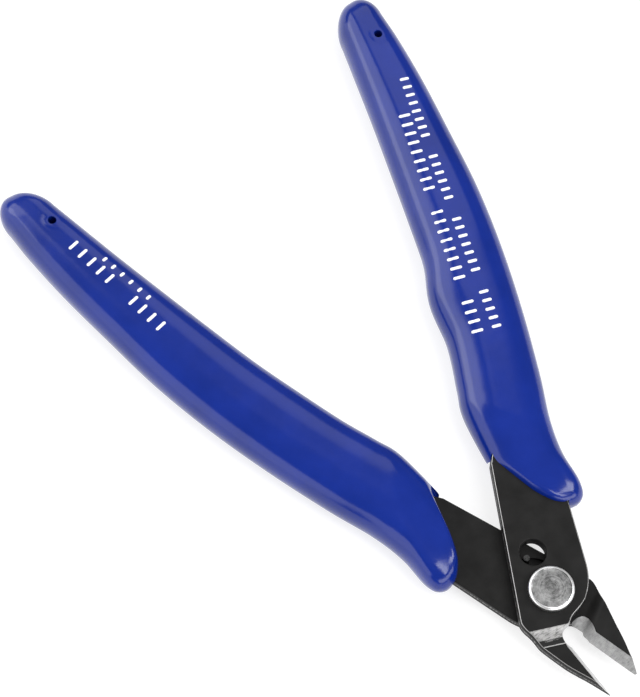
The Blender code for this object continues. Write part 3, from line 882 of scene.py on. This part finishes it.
def marks(side, grip, ink):
    """The rows of plain printed ticks on one grip's upper face."""
    depsgraph = bpy.context.evaluated_depsgraph_get()
    surface = bmesh.new()
    surface.from_object(grip, depsgraph)
    surface.transform(grip.matrix_world)
    tree = BVHTree.FromBMesh(surface)
    bm = bmesh.new()
    for start, end, height, groups in MARK_ROWS[side]:
        centres, direction = tick_centres(Vector(start), Vector(end), groups)
        for centre in centres:
            film(bm, tree, centre, direction, height)
    surface.free()
    obj = add_piece(side + "_printed_ticks", bm, [ink])
    finish_shading(obj, INK_CREASE, weighted=False)
    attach(obj, BODY[side])


# ---------------------------------------------------------------- studio

CAMERA_AT = (-111.92, -64.85, 368.5)             # from the rivet's axis, in millimetres
CAMERA_TURN = (23.126, -3.095, -34.478)          # degrees
LENS = 128.5
SENSOR_WIDTH = 36.0
CLIP = (0.01, 20.0)                              # metres
FLOOR_SIZE = 6.0                                 # metres
FLOOR_CELLS = 12
FLOOR_GAP = 0.05                                 # between the floor and the tool, in millimetres
FLOOR_GLOW = 0.7
WORLD_GLOW = 0.2
MIDDLE = (0.0, 0.02, 0.0)                        # middle of the tool, which most lights face

# Lights: direction and distance in metres from the point each faces, size, radiance, and that point
SOFTBOXES = [("back_left_softbox", (0.0, 0.74, 0.67), 1.1, (1.3, 1.0), 2.2, (-0.5, 0.02, 0.0)),
             ("left_softbox", (-0.86, 0.35, 0.36), 1.0, (1.7, 0.8), 1.5, MIDDLE),
             ("back_right_softbox", (0.0, 0.66, 0.75), 1.1, (0.7, 1.1), 1.0, (0.65, 0.02, 0.0)),
             ("front_left_softbox", (0.15, -0.5, 0.85), 0.8, (0.2, 0.6), 6.0, MIDDLE),
             ("front_right_softbox", (0.56, -0.4, 0.72), 0.8, (0.3, 0.35), 6.0, MIDDLE),
             ("low_softbox", (0.05, -0.93, 0.3), 0.6, (0.8, 0.2), 3.0, MIDDLE)]
OVERHEAD_FILL = ("overhead_fill", (0.0, 0.0, 1.0), 1.5, (1.5, 1.5), 0.7, MIDDLE)


def floor():
    """The pale floor, as part of the stage."""
    bm = bmesh.new()
    bmesh.ops.create_grid(bm, x_segments=FLOOR_CELLS, y_segments=FLOOR_CELLS, size=FLOOR_SIZE / 2)
    mesh = bpy.data.meshes.new("studio_floor")
    bm.to_mesh(mesh)
    bm.free()
    mesh.materials.append(pale_floor())
    obj = bpy.data.objects.new("studio_floor", mesh)
    obj.location = (0.0, 0.0, -FLOOR_GAP * MM)
    bpy.context.collection.objects.link(obj)


def softbox(name, toward, distance, size, radiance, target):
    """A rectangular light at a distance along a direction from the target, facing it."""
    light = bpy.data.lights.new(name, "AREA")
    light.shape = "RECTANGLE"
    light.size, light.size_y = size
    light.energy = radiance * math.pi * size[0] * size[1]
    obj = bpy.data.objects.new(name, light)
    direction = Vector(toward).normalized()
    obj.location = Vector(target) + direction * distance
    obj.rotation_euler = direction.to_track_quat("Z", "Y").to_euler()
    bpy.context.collection.objects.link(obj)
    return obj


def studio():
    scene = bpy.context.scene
    world = bpy.data.worlds.new("studio")
    world.use_nodes = True
    world.node_tree.nodes["Background"].inputs["Color"].default_value = (1.0, 1.0, 1.0, 1.0)
    world.node_tree.nodes["Background"].inputs["Strength"].default_value = WORLD_GLOW
    scene.world = world
    scene.view_settings.view_transform = "Standard"
    floor()
    for settings in SOFTBOXES:
        softbox(*settings)
    fill = softbox(*OVERHEAD_FILL)
    fill.visible_glossy = False


def camera():
    data = bpy.data.cameras.new("camera")
    data.lens = LENS
    data.sensor_width = SENSOR_WIDTH
    data.clip_start, data.clip_end = CLIP
    obj = bpy.data.objects.new("camera", data)
    obj.location = PIVOT + Vector(CAMERA_AT) * MM
    obj.rotation_euler = [math.radians(a) for a in CAMERA_TURN]
    bpy.context.collection.objects.link(obj)
    bpy.context.scene.camera = obj


# ---------------------------------------------------------------- the cutter

def build():
    camera()
    studio()
    # the worn, rubbed and bright finishes are bare steel that stands for wear and for painted highlights
    finishes = [black_oxide("black_oxide"), black_oxide("worn_edge_and_highlight", 0.5), black_oxide("rubbed_oxide_and_highlight", 0.88),
                black_oxide("bright_edge_highlight", 1.2), black_oxide("sheared_wall", specular=0.08)]
    vinyl = blue_vinyl()
    ink = white_ink()
    for side in ("front", "rear"):
        blade(side, finishes, ground_steel(side))
        grip = sleeve(side, vinyl)
        marks(side, grip, ink)
    rivet(turned_steel())
    spring(spring_wire())


build()
